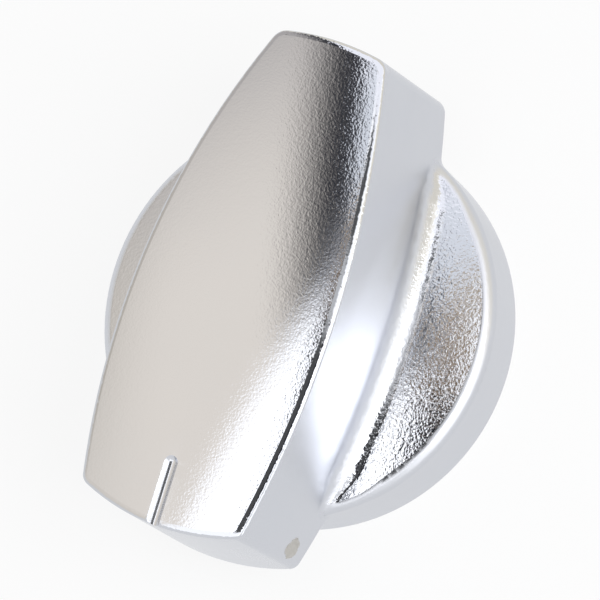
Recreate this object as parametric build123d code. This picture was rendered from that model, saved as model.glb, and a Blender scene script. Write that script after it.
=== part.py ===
from build123d import *
import math
import os

# Control knob of a food processor: one moulded, plated body. A round skirt
# carries a tall bar grip that is longer than the skirt is wide, so both ends
# of the bar overhang it. Lengths in millimetres, angles in degrees.
# Frame: +Z up the shaft axis, z = 0 on the skirt's base edge, -Y to the pointer.

# Skirt
SKIRT_BASE_RADIUS = 20.0
SKIRT_HEIGHT = 8.1        # base edge to the sharp rim, before rounding
SKIRT_LEAN = 2.0          # the wall leans out toward the rim, to release downward
RIM_ROUND = 0.9
DOME_RADIUS = 140.0       # crown of the skirt's upper face

# Bar grip, plan at its lower edge
BAR_LENGTH = 49.8
BAR_FOOT_Z = 6.4          # height of the lower edge of the overhanging ends
BAR_WIDTH_POINTER = 18.3  # across the corners of the pointer end
BAR_WIDTH_MIDDLE = 22.1   # at the shaft axis
BAR_WIDTH_TAIL = 12.5     # across the corners of the far end
BULGE_POINTER = 1.8       # rise of the end arcs beyond the corners
BULGE_TAIL = 0.7
BAR_DRAFT = 2.2
CORNER_ROUND_POINTER = 1.2
CORNER_ROUND_TAIL = 1.6
TOP_ROUND = 0.75
FOOT_ROUND = 1.5          # hollow rounding where the bar stands on the skirt

# Crown of the bar's top face
CROWN_HEIGHT = 24.3       # highest point above the base edge
CROWN_PEAK_Y = 6.3        # the highest point lies toward the far end
CROWN_RADIUS_LONG = 167.0
CROWN_RADIUS_CROSS = 71.0

# Pointer groove
GROOVE_WIDTH = 1.4
GROOVE_DEPTH = 0.5
GROOVE_LENGTH = 6.5       # from the pointer end inward

# Hollow underside
WALL = 2.0
ROOF = 2.2

# Shaft boss and bore
SHAFT_DIAMETER = 6.0
SHAFT_FLAT = 1.5          # from the shaft axis to the flat at its tip
SHAFT_CLEARANCE = 0.05    # all round the shaft
SHAFT_GRIP = 9.0          # length of the flatted stretch of the bore
BUSH_DIAMETER = 7.0       # fixed bush that the shaft turns in
BUSH_CLEARANCE = 0.25     # radial, in the round mouth of the bore
BUSH_DEPTH = 6.0
BOSS_WALL = 1.8
BOSS_FACE_Z = 1.0         # the boss stays clear of the panel
RIB_THICKNESS = 1.6
RIB_FOOT_Z = 4.0

# Derived
SKIRT_RIM_RADIUS = SKIRT_BASE_RADIUS + SKIRT_HEIGHT * math.tan(math.radians(SKIRT_LEAN))
DOME_APEX_Z = SKIRT_HEIGHT + DOME_RADIUS - math.sqrt(DOME_RADIUS**2 - SKIRT_RIM_RADIUS**2)
SKIRT_INNER_RADIUS = SKIRT_BASE_RADIUS - WALL
BUSH_BORE_RADIUS = BUSH_DIAMETER / 2 + BUSH_CLEARANCE
BOSS_RADIUS = BUSH_BORE_RADIUS + BOSS_WALL
BAR_RISE = CROWN_HEIGHT - BAR_FOOT_Z + 1.0
OVER = 1.0                # cutters run this far past the faces that they cut


def skirt_solid():
    """The full skirt: leaning wall, rounded rim and shallow dome."""
    apex = (0, DOME_APEX_Z)
    rim = (SKIRT_RIM_RADIUS, SKIRT_HEIGHT)
    walls = Polyline(apex, (0, 0), (SKIRT_BASE_RADIUS, 0), rim)
    dome = RadiusArc(rim, apex, -DOME_RADIUS)
    profile = make_face(walls + dome)
    profile = fillet(profile.vertices().sort_by_distance(rim)[0], RIM_ROUND)
    return revolve(Plane.XZ * profile, Axis.Z)


def skirt_hollow():
    """The space under the skirt's upper face, inside its wall."""
    under_radius = DOME_RADIUS - WALL
    edge_z = DOME_APEX_Z - DOME_RADIUS + math.sqrt(under_radius**2 - SKIRT_INNER_RADIUS**2)
    apex = (0, DOME_APEX_Z - WALL)
    corner = (SKIRT_INNER_RADIUS, edge_z)
    walls = Polyline(apex, (0, -OVER), (SKIRT_INNER_RADIUS, -OVER), corner)
    under = RadiusArc(corner, apex, -under_radius)
    return revolve(Plane.XZ * make_face(walls + under), Axis.Z)


def bar_plan(inset):
    """Plan of the bar at its lower edge, drawn in by inset."""
    half = BAR_LENGTH / 2
    near_y = -half + BULGE_POINTER
    far_y = half - BULGE_TAIL
    near_x = BAR_WIDTH_POINTER / 2
    mid_x = BAR_WIDTH_MIDDLE / 2
    far_x = BAR_WIDTH_TAIL / 2
    plan = make_face(
        ThreePointArc((near_x, near_y), (mid_x, 0), (far_x, far_y))
        + ThreePointArc((far_x, far_y), (0, half), (-far_x, far_y))
        + ThreePointArc((-far_x, far_y), (-mid_x, 0), (-near_x, near_y))
        + ThreePointArc((-near_x, near_y), (0, -half), (near_x, near_y))
    )
    return offset(plan, -inset, kind=Kind.INTERSECTION) if inset else plan


def crown_solid(depth):
    """Everything below the crowned top face, lowered by depth."""
    peak = CROWN_HEIGHT - depth
    reach = BAR_LENGTH / 2
    drop = CROWN_RADIUS_CROSS - math.sqrt(CROWN_RADIUS_CROSS**2 - reach**2)
    sides = Polyline((-reach, peak - drop), (-reach, -OVER), (reach, -OVER), (reach, peak - drop))
    arch = RadiusArc((reach, peak - drop), (-reach, peak - drop), -CROWN_RADIUS_CROSS)
    section = Plane.XZ.offset(-CROWN_PEAK_Y) * make_face(sides + arch)
    hinge = Axis((0, CROWN_PEAK_Y, CROWN_HEIGHT - CROWN_RADIUS_LONG), (1, 0, 0))
    sweep = math.degrees(math.asin(BAR_LENGTH / (CROWN_RADIUS_LONG - CROWN_HEIGHT)))
    return revolve(section.rotate(hinge, -sweep), hinge, 2 * sweep)


def bar_block(inset, depth):
    """The drafted bar, inset from its walls and lowered from its crown."""
    plan = Pos(0, 0, BAR_FOOT_Z) * bar_plan(inset)
    return extrude(plan, BAR_RISE, taper=BAR_DRAFT) & crown_solid(depth)


def bar_solid():
    """The outer bar with rounded corners and a rounded top edge."""
    bar = bar_block(0, 0)
    corners = bar.edges().filter_by(lambda e: abs(e.tangent_at(0.5).Z) > 0.9).sort_by(Axis.Y)
    bar = fillet(corners[:2], CORNER_ROUND_POINTER)
    corners = bar.edges().filter_by(lambda e: abs(e.tangent_at(0.5).Z) > 0.9).sort_by(Axis.Y)
    bar = fillet(corners[-2:], CORNER_ROUND_TAIL)
    crown_face = bar.faces().sort_by(Axis.Z)[-1]
    return fillet(crown_face.edges(), TOP_ROUND)


def outer_solid():
    """Skirt and bar together, with the hollow rounding along the bar's foot."""
    body = skirt_solid() + bar_solid()
    dome_edges = body.faces().filter_by(GeomType.SPHERE).edges()
    foot_edges = dome_edges.filter_by(lambda e: abs(e.position_at(0.5).X) < BAR_WIDTH_MIDDLE / 2 + OVER)
    return fillet(foot_edges, FOOT_ROUND)


def crown_z(y):
    """Height of the crowned top face above the bar's centre line."""
    run = y - CROWN_PEAK_Y
    return CROWN_HEIGHT - CROWN_RADIUS_LONG + math.sqrt(CROWN_RADIUS_LONG**2 - run**2)


def pointer_groove():
    """A round-bottomed groove that runs out over the pointer end."""
    radius = (GROOVE_WIDTH**2 / 4 + GROOVE_DEPTH**2) / (2 * GROOVE_DEPTH)
    lift = radius - GROOVE_DEPTH
    inner_y = -BAR_LENGTH / 2 + GROOVE_LENGTH
    outer_y = -BAR_LENGTH / 2 - OVER
    inner = Vector(0, inner_y, crown_z(inner_y) + lift)
    outer = Vector(0, outer_y, crown_z(outer_y) + lift)
    tool = Solid.make_cylinder(radius, (outer - inner).length, Plane(inner, z_dir=outer - inner))
    return Part() + tool + Pos(inner) * Sphere(radius)


def bar_hollow():
    """Core of the bar: one pocket inside the skirt wall, one in each overhang."""
    core = bar_block(WALL, ROOF)
    height = CROWN_HEIGHT * 2
    inside = core & Cylinder(SKIRT_INNER_RADIUS, height)
    return inside + (core - Cylinder(SKIRT_RIM_RADIUS, height))


def boss_and_ribs():
    """Shaft boss with four ribs that run out to the walls."""
    top = CROWN_HEIGHT - ROOF / 2
    bottom = (Align.CENTER, Align.CENTER, Align.MIN)
    boss = Pos(0, 0, BOSS_FACE_Z) * Cylinder(BOSS_RADIUS, top - BOSS_FACE_Z, align=bottom)
    span = 2 * SKIRT_INNER_RADIUS + WALL
    ribs = Box(span, RIB_THICKNESS, top - RIB_FOOT_Z, align=bottom)
    ribs += Box(RIB_THICKNESS, span, top - RIB_FOOT_Z, align=bottom)
    return boss + Pos(0, 0, RIB_FOOT_Z) * ribs


def shaft_bore():
    """Round mouth that clears the bush, then the shaft's socket with its flat."""
    bottom = (Align.CENTER, Align.CENTER, Align.MIN)
    mouth = Cylinder(BUSH_BORE_RADIUS, BUSH_DEPTH + OVER, align=bottom)
    depth = BUSH_DEPTH + SHAFT_GRIP
    socket = Cylinder(SHAFT_DIAMETER / 2 + SHAFT_CLEARANCE, depth, align=bottom)
    flat_y = -(SHAFT_FLAT + SHAFT_CLEARANCE)
    room = 2 * SHAFT_DIAMETER
    keep = Pos(0, flat_y, 0) * Box(room, room, depth, align=(Align.CENTER, Align.MIN, Align.MIN))
    return Pos(0, 0, BOSS_FACE_Z - OVER) * mouth + Pos(0, 0, BOSS_FACE_Z) * (socket & keep)


def knob():
    """The finished moulding."""
    outer = outer_solid()
    shell = outer - skirt_hollow() - bar_hollow()
    body = shell + (boss_and_ribs() & outer)
    return body - shaft_bore() - pointer_groove()


os.makedirs("parts", exist_ok=True)
knob_part = knob()
export_step(knob_part, "parts/knob.step")
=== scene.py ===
import math

import bmesh
import bpy
from mathutils import Matrix, Vector


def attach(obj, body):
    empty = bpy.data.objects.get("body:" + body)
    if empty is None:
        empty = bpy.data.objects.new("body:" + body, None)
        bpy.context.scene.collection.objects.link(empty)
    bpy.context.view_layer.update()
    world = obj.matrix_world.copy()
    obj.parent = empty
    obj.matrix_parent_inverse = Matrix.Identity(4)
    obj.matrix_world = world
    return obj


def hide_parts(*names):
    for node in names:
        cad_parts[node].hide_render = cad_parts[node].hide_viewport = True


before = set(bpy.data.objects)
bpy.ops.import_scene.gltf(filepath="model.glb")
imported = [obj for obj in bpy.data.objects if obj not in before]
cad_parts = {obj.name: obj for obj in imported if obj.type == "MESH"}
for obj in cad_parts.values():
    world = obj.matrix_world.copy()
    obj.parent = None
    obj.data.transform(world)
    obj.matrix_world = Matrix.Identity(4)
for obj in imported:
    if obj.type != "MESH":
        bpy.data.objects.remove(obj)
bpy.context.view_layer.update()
scene = bpy.context.scene
scene.view_settings.view_transform = "Standard"

MM = 0.001

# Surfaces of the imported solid, in metres, as part.py draws them
CROWN_TOP = 24.3 * MM
CROWN_PEAK_Y = 6.3 * MM
CROWN_LONG = 167.0 * MM
CROWN_CROSS = 71.0 * MM
DOME_RADIUS = 140.0 * MM
DOME_APEX = 9.577 * MM
BASE_RADIUS = 20.0 * MM
SKIRT_LEAN = math.radians(2.0)
BAR_FOOT = 6.4 * MM
BAR_DRAFT = math.radians(2.2)
SIDE_ARC = (-75.209 * MM, -4.533 * MM, 86.378 * MM)     # centre and radius in plan
POINTER_ARC = (0.0, -0.744 * MM, 24.156 * MM)
TAIL_ARC = (0.0, -3.352 * MM, 28.252 * MM)
TOP_ROUND = 0.75 * MM
GROOVE_RADIUS = 0.74 * MM
GROOVE_TURN = math.radians(71.0)    # from the groove's floor to its lips
GROOVE_INNER = Vector((0.0, -18.4, 22.7033)) * MM
GROOVE_OUTER = Vector((0.0, -25.9, 21.4063)) * MM
RIM_CORNER = (20.283 * MM, 8.1 * MM)    # radius and height of the rim before rounding
RIM_REACH = 0.82 * MM
FOOT_REACH = 1.5 * MM
WALL = 2.0 * MM
ON_SURFACE = 0.004 * MM

# Wider roundings, and where each goes back to its own size
RIM_SCALE = 1.5
RIM_FADE = (2.5 * MM, 5.0 * MM)         # distance from the bar's side
FOOT_SCALE = 1.6
FOOT_FADE = (17.2 * MM, 19.2 * MM)      # radius from the shaft axis

# Shading normals
SMOOTH_LIMIT = math.cos(math.radians(35.0))
EXACT_LIMIT = math.cos(math.radians(25.0))
EDGE_BREAK = math.radians(6.0)          # the polished top edge starts off at this angle
EDGE_SWEEP = math.radians(80.0)
EDGE_POWER = 1.2                        # how slowly the top edge rolls over
LIP_EASE = 0.5                          # pull of the crown's normal on the groove's lips

# Finish: relief of the grained faces, and satin from 0, polished, to 1
CROWN_GRAIN = 0.5
DOME_GRAIN = 0.8
FOOT_GRAIN = 2.0
END_SATIN = 0.75
GROOVE_SATIN = 0.4

# Reflectors above the knob: the overhead card's directions, heights and edge
ACROSS = Vector((0.876, 0.483, 0.0))
ALONG = Vector((-0.483, 0.876, 0.0))
CARD_HEIGHT = 120 * MM
CARD_EDGE = 7 * MM
CARD_SKEW = 1.2                         # slope of the line along which it thins out
CEILING_HEIGHT = 352 * MM


def crown(co):
    """Distance from the grip's crowned top face, and its normal there."""
    arch = CROWN_LONG - CROWN_CROSS + math.sqrt(CROWN_CROSS**2 - co.x**2)
    run = co.y - CROWN_PEAK_Y
    height = CROWN_TOP - CROWN_LONG + math.sqrt(arch**2 - run**2)
    lean = math.asin(run / arch)
    up = math.sqrt(1 - (co.x / CROWN_CROSS) ** 2)
    return co.z - height, Vector((co.x / CROWN_CROSS, up * math.sin(lean), up * math.cos(lean)))


def dome(co):
    """Distance from the skirt's domed upper face, and its normal there."""
    out = co - Vector((0, 0, DOME_APEX - DOME_RADIUS))
    return out.length - DOME_RADIUS, out.normalized()


def skirt_wall(co):
    """Distance from the skirt's leaning wall, and its normal there."""
    out = Vector((co.x, co.y, 0))
    gap = out.length - BASE_RADIUS - co.z * math.tan(SKIRT_LEAN)
    return gap, out.normalized() * math.cos(SKIRT_LEAN) - Vector((0, 0, math.sin(SKIRT_LEAN)))


def bar_wall(co, arc):
    """Distance from a drafted wall of the bar, and its normal there."""
    mirror = -1.0 if arc is SIDE_ARC and co.x < 0 else 1.0
    out = Vector((co.x - mirror * arc[0], co.y - arc[1], 0))
    gap = out.length - arc[2] + (co.z - BAR_FOOT) * math.tan(BAR_DRAFT)
    if (arc is TAIL_ARC and co.y < 0) or (arc is POINTER_ARC and co.y > 0):
        gap = 1.0
    return gap, out.normalized() * math.cos(BAR_DRAFT) + Vector((0, 0, math.sin(BAR_DRAFT)))


def groove(co):
    """Distance from the pointer groove, and its normal there."""
    axis = GROOVE_OUTER - GROOVE_INNER
    along = max(0.0, (co - GROOVE_INNER).dot(axis) / axis.length_squared)
    out = GROOVE_INNER + axis * along - co
    return out.length - GROOVE_RADIUS, out.normalized()


def surfaces_at(co):
    """Normals of the outer surfaces that pass through a point."""
    found = [crown(co), dome(co), skirt_wall(co), groove(co)]
    found += [bar_wall(co, arc) for arc in (SIDE_ARC, POINTER_ARC, TAIL_ARC)]
    return [normal for gap, normal in found if abs(gap) < ON_SURFACE]


def is_inside(co):
    """True on the hollow underside."""
    if math.hypot(co.x, co.y) < BASE_RADIUS - WALL / 2 and dome(co)[0] < -WALL / 2:
        return True
    if co.z < BAR_FOOT - ON_SURFACE or abs(skirt_wall(co)[0]) < ON_SURFACE:
        return False
    end = POINTER_ARC if co.y < 0 else TAIL_ARC
    return max(bar_wall(co, SIDE_ARC)[0], bar_wall(co, end)[0], crown(co)[0]) < -WALL / 2


def fade(value, low, high):
    """Smooth step from 0 at low to 1 at high."""
    share = min(max((value - low) / (high - low), 0.0), 1.0)
    return share * share * (3 - 2 * share)


def at_foot(co):
    """True on the hollow rounding between the bar's side and the dome."""
    gap = bar_wall(co, SIDE_ARC)[0]
    lift = dome(co)[0]
    low = min(gap, lift)
    high = max(gap, lift)
    return low > -ON_SURFACE and high < FOOT_REACH and math.hypot(co.x, co.y) < RIM_CORNER[0] - RIM_REACH


def widened(co):
    """Where a point of the rim's or the foot's rounding goes when that rounding is drawn wider.

    Each is scaled about its own sharp corner, and keeps its size where bar and rim meet.
    """
    radius = math.hypot(co.x, co.y)
    gap, wall_normal = bar_wall(co, SIDE_ARC)
    lift, up = dome(co)
    rim = Vector((radius - RIM_CORNER[0], co.z - RIM_CORNER[1]))
    place = co.copy()
    if at_foot(co):
        grow = (FOOT_SCALE - 1) * (1 - fade(radius, *FOOT_FADE))
        out = Vector((wall_normal.x, wall_normal.y, 0)).normalized()
        along = out - up * out.dot(up)
        rise = Vector((0, 0, 1)) - wall_normal * wall_normal.z
        place += (along * (gap / along.dot(out)) + rise * (lift / rise.dot(up))) * grow
    elif rim.length < RIM_REACH:
        rim *= 1 + (RIM_SCALE - 1) * fade(gap, *RIM_FADE)
        share = (RIM_CORNER[0] + rim.x) / radius
        place = Vector((co.x * share, co.y * share, RIM_CORNER[1] + rim.y))
    if abs(lift) < ON_SURFACE:
        place -= dome(place)[1] * dome(place)[0]
    return place


def smooth_mean(face, vert):
    """Mean normal over the faces at a vertex that run on smoothly from this one."""
    mean = Vector()
    for other in vert.link_faces:
        if other.normal.dot(face.normal) > SMOOTH_LIMIT:
            mean += other.normal * other.calc_area()
    return mean.normalized()


def edge_normal(face, vert):
    """Normal on the polished top edge, which breaks from the crown and rolls over slowly."""
    start = crown(vert.co)[1]
    mean = start if abs(crown(vert.co)[0]) < ON_SURFACE else smooth_mean(face, vert)
    out = (face.normal - start * start.dot(face.normal)).normalized()
    turn = start.angle(mean)
    share = min(turn / EDGE_SWEEP, 1.0)
    turn = turn * share**EDGE_POWER + EDGE_BREAK * (1 - share)
    return start * math.cos(turn) + out * math.sin(turn)


def groove_normal(vert):
    """Normal in the groove, eased toward the crown at its lips."""
    start = crown(vert.co)[1]
    normal = groove(vert.co)[1]
    return normal.lerp(start, LIP_EASE * (start.angle(normal) / GROOVE_TURN) ** 2).normalized()


def corner_normal(face, vert, exact, top_edge):
    """The exact surface's normal where there is one, else a mean over the smooth faces."""
    if all(abs(groove(v.co)[0]) < ON_SURFACE for v in face.verts):
        return groove_normal(vert)
    rolled = any(v in top_edge for v in face.verts)
    if rolled and (vert in top_edge or abs(crown(vert.co)[0]) < ON_SURFACE):
        return edge_normal(face, vert)
    near = [n for n in exact if n.dot(face.normal) > EXACT_LIMIT]
    return max(near, key=face.normal.dot) if near else smooth_mean(face, vert)


def build_knob():
    """A welded copy of the CAD node with wider roundings, its own normals and its finish zones."""
    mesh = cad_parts["knob"].data.copy()
    mesh.name = "knob_body"
    if "custom_normal" in mesh.attributes:
        mesh.attributes.remove(mesh.attributes["custom_normal"])
    bm = bmesh.new()
    bm.from_mesh(mesh)
    bmesh.ops.remove_doubles(bm, verts=bm.verts, dist=0.0005 * MM)
    bmesh.ops.dissolve_degenerate(bm, edges=bm.edges, dist=0.0001 * MM)
    grain = bm.verts.layers.float.new("grain")
    satin = bm.verts.layers.float.new("satin")
    inside = bm.verts.layers.float.new("inside")
    foot = {}
    for vert in bm.verts:
        vert[inside] = float(is_inside(vert.co))
        if not vert[inside]:
            if at_foot(vert.co) and dome(vert.co)[0] > ON_SURFACE:
                foot[vert] = dome(vert.co)[0] / FOOT_REACH
            vert.co = widened(vert.co)
    bm.normal_update()
    exact = {}
    top_edge = set()
    for vert in bm.verts:
        if abs(crown(vert.co)[0]) < ON_SURFACE:
            vert[grain] = CROWN_GRAIN
        elif abs(dome(vert.co)[0]) < ON_SURFACE:
            vert[grain] = DOME_GRAIN
        exact[vert] = [] if vert[inside] else surfaces_at(vert.co)
        if not exact[vert] and crown(vert.co)[0] > -TOP_ROUND:
            top_edge.add(vert)
        ends = min(abs(bar_wall(vert.co, POINTER_ARC)[0]), abs(bar_wall(vert.co, TAIL_ARC)[0]))
        if vert in foot:
            vert[grain] = FOOT_GRAIN * (1 - fade(foot[vert], 0.15, 0.6))
            upper = 0.9 * fade(vert.co.y, -9 * MM, -2 * MM) * (1 - 0.7 * fade(vert.co.y, 3 * MM, 9 * MM))
            vert[satin] = max(fade(foot[vert], 0.0, 0.4), upper)
        elif abs(groove(vert.co)[0]) < ON_SURFACE:
            vert[satin] = GROOVE_SATIN
        elif vert in top_edge or vert[grain]:
            vert[satin] = 0.0
        else:
            vert[satin] = END_SATIN if ends < ON_SURFACE else 1.0
    normals = [corner_normal(f, v, exact[v], top_edge) for f in bm.faces for v in f.verts]
    bm.to_mesh(mesh)
    bm.free()
    mesh.shade_smooth()
    mesh.normals_split_custom_set(normals)
    knob = bpy.data.objects.new("knob_body", mesh)
    scene.collection.objects.link(knob)
    return knob


def math_node(tree, operation, a, b):
    """Math on sockets or plain numbers; returns the output socket."""
    node = tree.nodes.new("ShaderNodeMath")
    node.operation = operation
    for socket, value in zip(node.inputs, (a, b)):
        if isinstance(value, bpy.types.NodeSocket):
            tree.links.new(value, socket)
        else:
            socket.default_value = value
    return node.outputs[0]


def ramp(tree, value, low, high, out_low=0.0, out_high=1.0, smooth=True):
    """Map Range of a socket; returns the output socket."""
    node = tree.nodes.new("ShaderNodeMapRange")
    node.interpolation_type = "SMOOTHSTEP" if smooth else "LINEAR"
    tree.links.new(value, node.inputs["Value"])
    node.inputs["From Min"].default_value = low
    node.inputs["From Max"].default_value = high
    node.inputs["To Min"].default_value = out_low
    node.inputs["To Max"].default_value = out_high
    return node.outputs["Result"]


def dot(tree, vector, direction):
    """Dot product of a vector socket with a fixed direction."""
    node = tree.nodes.new("ShaderNodeVectorMath")
    node.operation = "DOT_PRODUCT"
    tree.links.new(vector, node.inputs[0])
    node.inputs[1].default_value = direction
    return node.outputs["Value"]


def mix_colour(tree, factor, a, b):
    """Colour mix; a and b are colours or colour sockets."""
    node = tree.nodes.new("ShaderNodeMix")
    node.data_type = "RGBA"
    tree.links.new(factor, node.inputs["Factor"])
    for socket, value in zip((node.inputs[6], node.inputs[7]), (a, b)):
        if isinstance(value, bpy.types.NodeSocket):
            tree.links.new(value, socket)
        else:
            socket.default_value = (*value, 1.0)
    return node.outputs[2]


def mix_value(tree, factor, a, b):
    """Mix of two numbers or sockets."""
    node = tree.nodes.new("ShaderNodeMix")
    tree.links.new(factor, node.inputs["Factor"])
    for socket, value in zip((node.inputs[2], node.inputs[3]), (a, b)):
        if isinstance(value, bpy.types.NodeSocket):
            tree.links.new(value, socket)
        else:
            socket.default_value = value
    return node.outputs[0]


def new_material(name):
    """An empty node material; returns material and tree."""
    material = bpy.data.materials.new(name)
    material.use_nodes = True
    material.node_tree.nodes.clear()
    return material, material.node_tree


def attribute(tree, name):
    """A float attribute of the mesh as a socket."""
    node = tree.nodes.new("ShaderNodeAttribute")
    node.attribute_name = name
    return node.outputs["Fac"]


def noise(tree, vector, scale, detail=2.0, roughness=0.5, distortion=0.0):
    """Noise texture; returns its value socket."""
    node = tree.nodes.new("ShaderNodeTexNoise")
    tree.links.new(vector, node.inputs["Vector"])
    node.inputs["Scale"].default_value = scale
    node.inputs["Detail"].default_value = detail
    node.inputs["Roughness"].default_value = roughness
    node.inputs["Distortion"].default_value = distortion
    return node.outputs["Fac"]


def chip_mask(tree, place):
    """1 on the spot near the pointer corner where the plating has come off."""
    edge = tree.nodes.new("ShaderNodeTexNoise")
    tree.links.new(place, edge.inputs["Vector"])
    edge.inputs["Scale"].default_value = 650.0
    edge.inputs["Detail"].default_value = 2.0
    wander = tree.nodes.new("ShaderNodeVectorMath")
    wander.operation = "MULTIPLY_ADD"
    tree.links.new(edge.outputs["Color"], wander.inputs[0])
    wander.inputs[1].default_value = (1.4 * MM,) * 3
    tree.links.new(place, wander.inputs[2])
    spot = tree.nodes.new("ShaderNodeMapping")
    spot.vector_type = "TEXTURE"
    spot.inputs["Location"].default_value = (10.05 * MM, -20.8 * MM, 10.4 * MM)
    spot.inputs["Scale"].default_value = (3.0 * MM, 1.05 * MM, 1.22 * MM)
    tree.links.new(wander.outputs[0], spot.inputs["Vector"])
    reach = tree.nodes.new("ShaderNodeVectorMath")
    reach.operation = "LENGTH"
    tree.links.new(spot.outputs[0], reach.inputs[0])
    return ramp(tree, reach.outputs["Value"], 0.9, 1.05, 1.0, 0.0)


def plating_material():
    """Bright chrome: satin walls, spark-grained faces, one worn spot."""
    material, tree = new_material("plating")
    out = tree.nodes.new("ShaderNodeOutputMaterial")
    shader = tree.nodes.new("ShaderNodeBsdfPrincipled")
    tree.links.new(shader.outputs[0], out.inputs["Surface"])
    place = tree.nodes.new("ShaderNodeTexCoord").outputs["Object"]

    grain = attribute(tree, "grain")
    satin = attribute(tree, "satin")
    inside = attribute(tree, "inside")
    chip = chip_mask(tree, place)

    pits = mix_value(
        tree, ramp(tree, grain, 0.55, 0.75),
        noise(tree, place, 4600.0, 1.0, 0.5, 0.4),
        noise(tree, place, 3800.0, 1.0, 0.5, 0.4))
    coarse = noise(tree, place, 1800.0, 1.0)
    relief = math_node(tree, "ADD", pits, math_node(tree, "MULTIPLY", coarse, 0.6))
    bump = tree.nodes.new("ShaderNodeBump")
    bump.inputs["Distance"].default_value = 0.0165 * MM
    tree.links.new(grain, bump.inputs["Strength"])
    tree.links.new(relief, bump.inputs["Height"])
    flake = tree.nodes.new("ShaderNodeBump")
    flake.invert = True
    flake.inputs["Distance"].default_value = 0.06 * MM
    tree.links.new(chip, flake.inputs["Height"])
    tree.links.new(bump.outputs[0], flake.inputs["Normal"])
    tree.links.new(flake.outputs[0], shader.inputs["Normal"])

    smears = ramp(tree, noise(tree, place, 140.0, 3.0, 0.6), 0.3, 0.7, 0.33, 0.38)
    rough = mix_value(tree, satin, 0.06, smears)
    rough = mix_value(tree, inside, rough, 0.42)
    rough = mix_value(tree, chip, rough, 0.7)
    tree.links.new(rough, shader.inputs["Roughness"])
    tone = mix_colour(tree, noise(tree, place, 90.0, 2.0), (0.582, 0.601, 0.647), (0.600, 0.613, 0.652))
    tone = mix_colour(tree, inside, tone, (0.50, 0.51, 0.53))
    bare = mix_colour(tree, noise(tree, place, 1500.0, 2.0), (0.40, 0.385, 0.355), (0.505, 0.492, 0.47))
    tree.links.new(mix_colour(tree, chip, tone, bare), shader.inputs["Base Color"])
    tree.links.new(mix_value(tree, chip, 1.0, 0.0), shader.inputs["Metallic"])
    return material


def floor_material():
    """White paper sweep that keeps the knob's soft shadow."""
    material, tree = new_material("paper")
    out = tree.nodes.new("ShaderNodeOutputMaterial")
    paper = tree.nodes.new("ShaderNodeBsdfDiffuse")
    paper.inputs["Color"].default_value = (0.9, 0.905, 0.91, 1.0)
    glow = tree.nodes.new("ShaderNodeEmission")
    path = tree.nodes.new("ShaderNodeLightPath").outputs
    mirrored = math_node(tree, "MAXIMUM", path["Is Glossy Ray"], path["Is Transmission Ray"])
    share = math_node(tree, "MULTIPLY", path["Is Camera Ray"], 0.85)
    share = math_node(tree, "MAXIMUM", share, math_node(tree, "MULTIPLY", mirrored, 0.95))
    mix = tree.nodes.new("ShaderNodeMixShader")
    tree.links.new(share, mix.inputs[0])
    tree.links.new(paper.outputs[0], mix.inputs[1])
    tree.links.new(glow.outputs[0], mix.inputs[2])
    tree.links.new(mix.outputs[0], out.inputs["Surface"])
    return material


def glow_material(name):
    """An emission whose colour the caller links; returns material, tree, glow and place."""
    material, tree = new_material(name)
    out = tree.nodes.new("ShaderNodeOutputMaterial")
    glow = tree.nodes.new("ShaderNodeEmission")
    tree.links.new(glow.outputs[0], out.inputs["Surface"])
    place = tree.nodes.new("ShaderNodeTexCoord").outputs["Object"]
    return material, tree, glow, place


def overhead_material():
    """Warm reflector with a dark gap along its edge; it thins out toward the bright side."""
    material, tree, glow, place = glow_material("overhead_card")
    across = dot(tree, place, ACROSS)
    along = dot(tree, place, ALONG)
    falloff = ramp(tree, along, 20 * MM, 130 * MM)
    tone = mix_colour(tree, falloff, (1.16, 1.07, 0.95), (0.63, 0.59, 0.56))
    shade = math_node(
        tree, "MULTIPLY",
        ramp(tree, across, -60 * MM, -140 * MM),
        ramp(tree, along, -20 * MM, 35 * MM, 0.4, 1.0))
    tone = mix_colour(tree, shade, tone, (0.73, 0.67, 0.58))
    tone = mix_colour(tree, ramp(tree, across, -26 * MM, 0 * MM), tone, (0.045, 0.045, 0.052))
    near_end = math_node(
        tree, "MULTIPLY",
        ramp(tree, across, -6 * MM, 4 * MM),
        ramp(tree, along, 32 * MM, 15 * MM))
    tone = mix_colour(tree, near_end, tone, (0.33, 0.33, 0.34))
    tone = mix_colour(tree, ramp(tree, across, -150 * MM, -175 * MM), tone, (0.95, 0.94, 0.91))
    tree.links.new(tone, glow.inputs["Color"])
    skew = dot(tree, place, ACROSS - CARD_SKEW * ALONG)
    clear = tree.nodes.new("ShaderNodeBsdfTransparent")
    mix = tree.nodes.new("ShaderNodeMixShader")
    thin = math_node(
        tree, "MAXIMUM",
        ramp(tree, skew, -24 * MM, 0 * MM),
        ramp(tree, across, 3 * MM, 7 * MM))
    tree.links.new(thin, mix.inputs[0])
    tree.links.new(glow.outputs[0], mix.inputs[1])
    tree.links.new(clear.outputs[0], mix.inputs[2])
    tree.links.new(mix.outputs[0], tree.nodes["Material Output"].inputs["Surface"])
    return material


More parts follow.
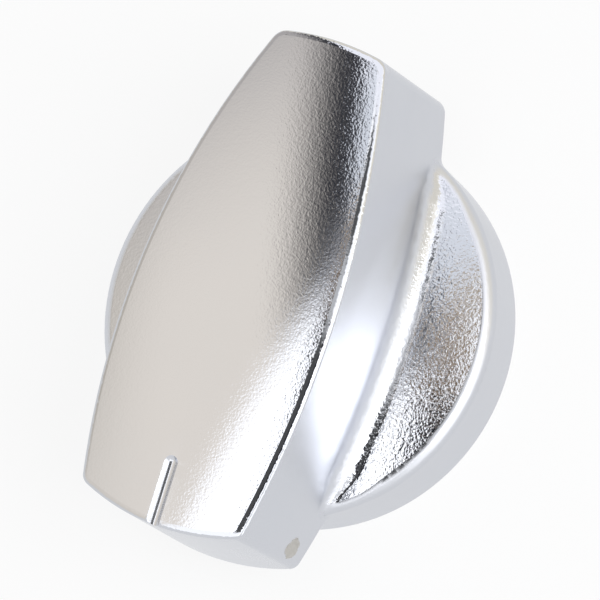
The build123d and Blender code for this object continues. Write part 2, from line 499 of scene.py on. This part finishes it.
def ceiling_material():
    """Bright ceiling with a dark ridge that turns warm toward the back, and a dark band beyond."""
    material, tree, glow, place = glow_material("ceiling")
    north = dot(tree, place, (0.0, 1.0, 0.0))
    bend = ramp(tree, north, -70 * MM, 70 * MM, 0.0, 45 * MM, smooth=False)
    east = math_node(tree, "ADD", dot(tree, place, (1.0, -0.19, 0.0)), bend)
    white = mix_colour(tree, ramp(tree, north, -15 * MM, 45 * MM), (2.0, 2.0, 2.0), (1.08, 1.11, 1.16))
    warm = mix_colour(tree, ramp(tree, north, 30 * MM, 90 * MM), (0.37, 0.27, 0.18), (0.72, 0.62, 0.50))
    warm = mix_colour(tree, ramp(tree, north, 85 * MM, 115 * MM), warm, (1.08, 1.11, 1.16))
    ridge = mix_colour(tree, ramp(tree, north, -15 * MM, 35 * MM), (0.03, 0.03, 0.035), warm)
    tone = mix_colour(tree, ramp(tree, east, -12 * MM, -7 * MM), white, ridge)
    lit = math_node(
        tree, "MULTIPLY",
        ramp(tree, east, 10 * MM, 22 * MM),
        ramp(tree, north, -10 * MM, 15 * MM))
    tone = mix_colour(tree, lit, tone, (1.6, 1.6, 1.6))
    grey = mix_colour(tree, ramp(tree, north, -15 * MM, 8 * MM), (0.11, 0.11, 0.11), (0.75, 0.75, 0.75))
    grey = mix_colour(tree, ramp(tree, north, 35 * MM, 60 * MM), grey, (0.13, 0.13, 0.13))
    band = math_node(
        tree, "MULTIPLY",
        ramp(tree, east, 36 * MM, 46 * MM),
        ramp(tree, east, 110 * MM, 160 * MM, 1.0, 0.0))
    tone = mix_colour(tree, band, tone, grey)
    tone = mix_colour(tree, ramp(tree, north, -160 * MM, -200 * MM), tone, (1.6, 1.6, 1.6))
    tone = mix_colour(tree, ramp(tree, north, 125 * MM, 160 * MM), tone, (1.4, 1.4, 1.45))
    tone = mix_colour(tree, ramp(tree, east, 200 * MM, 230 * MM), tone, (2.0, 2.0, 2.0))
    tree.links.new(tone, glow.inputs["Color"])
    return material


def right_material():
    """White fill on the right that turns warm toward the back."""
    material, tree, glow, place = glow_material("right_card")
    north = dot(tree, place, (0.0, 1.0, 0.0))
    tone = mix_colour(tree, ramp(tree, north, 0.06, 0.24), (1.75, 1.75, 1.75), (1.04, 0.98, 0.85))
    tree.links.new(tone, glow.inputs["Color"])
    return material


def plain_glow(name, colour):
    """An emission of one colour."""
    material, tree = new_material(name)
    out = tree.nodes.new("ShaderNodeOutputMaterial")
    glow = tree.nodes.new("ShaderNodeEmission")
    glow.inputs["Color"].default_value = (*colour, 1.0)
    tree.links.new(glow.outputs[0], out.inputs["Surface"])
    return material


def quad(name, corners, material):
    """A flat stage piece."""
    mesh = bpy.data.meshes.new(name)
    mesh.from_pydata([Vector(c) for c in corners], [], [tuple(range(len(corners)))])
    mesh.materials.append(material)
    obj = bpy.data.objects.new(name, mesh)
    scene.collection.objects.link(obj)
    return obj


def card(name, corners, material):
    """A card that only shows in reflections."""
    obj = quad(name, corners, material)
    obj.visible_camera = False
    obj.visible_diffuse = False
    obj.visible_shadow = False


def build_stage():
    """Floor, reflector cards, one soft lamp and the white surround."""
    side = 3.0
    corners = [(-side, -side, 0), (side, -side, 0), (side, side, 0), (-side, side, 0)]
    quad("floor", corners, floor_material())

    lift = Vector((0, 0, CARD_HEIGHT))
    sides = [(-0.45, -0.3), (CARD_EDGE, -0.3), (CARD_EDGE, 0.35), (-0.45, 0.35)]
    card("overhead_card", [ACROSS * s + ALONG * r + lift for s, r in sides], overhead_material())
    z = CEILING_HEIGHT
    card("ceiling", [(-0.4, -0.4, z), (0.25, -0.4, z), (0.25, 0.4, z), (-0.4, 0.4, z)], ceiling_material())
    warm = plain_glow("warm_card", (1.06, 1.0, 0.87))
    card("back_card", [(-0.5, 0.45, 0.0), (0.7, 0.45, 0.0), (0.7, 0.45, 0.5), (-0.5, 0.45, 0.5)], warm)
    card("upper_card", [(0.25, 0.05, z), (0.5, 0.05, z), (0.5, 0.4, z), (0.25, 0.4, z)],
         plain_glow("upper_card", (1.4, 1.33, 1.18)))
    card("right_card", [(0.6, -0.5, 0.02), (0.6, 0.4, 0.02), (0.6, 0.4, 0.5), (0.6, -0.5, 0.5)],
         right_material())

    key = bpy.data.lights.new("key", "AREA")
    key.shape = "RECTANGLE"
    key.size = 0.28
    key.size_y = 0.28
    key.energy = 1.25
    lamp = bpy.data.objects.new("key", key)
    scene.collection.objects.link(lamp)
    lamp.location = Vector((0.68, 0.03, 0.73)) * 0.55
    lamp.rotation_euler = lamp.location.to_track_quat("Z", "Y").to_euler()

    world = bpy.data.worlds.new("studio")
    scene.world = world
    world.use_nodes = True
    tree = world.node_tree
    background = tree.nodes["Background"]
    background.inputs["Color"].default_value = (1.0, 1.0, 1.0, 1.0)
    path = tree.nodes.new("ShaderNodeLightPath").outputs
    seen = math_node(tree, "MAXIMUM", path["Is Camera Ray"], path["Is Glossy Ray"])
    seen = math_node(tree, "MAXIMUM", seen, path["Is Transmission Ray"])
    level = math_node(tree, "MULTIPLY", seen, 0.36)
    tree.links.new(math_node(tree, "ADD", level, 0.64), background.inputs["Strength"])


def build_camera():
    """The photograph's view, solved from the knob's edges."""
    camera = bpy.data.cameras.new("camera")
    camera.sensor_width = 36.0
    camera.lens = 230.23
    camera.clip_start = 0.01
    obj = bpy.data.objects.new("camera", camera)
    scene.collection.objects.link(obj)
    right = Vector((0.87047539, 0.36117301, -0.33440493))
    down = Vector((0.30161325, -0.92829412, -0.21748442))
    ahead = Vector((-0.38897563, 0.08845387, -0.91699175))
    turn = Matrix((right, -down, -ahead)).transposed().to_4x4()
    obj.matrix_world = Matrix.Translation(Vector((145.0584, -31.5925, 349.8192)) * MM) @ turn
    scene.camera = obj


knob = build_knob()
knob.data.materials.clear()
knob.data.materials.append(plating_material())
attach(knob, "root")
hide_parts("knob")
build_stage()
build_camera()
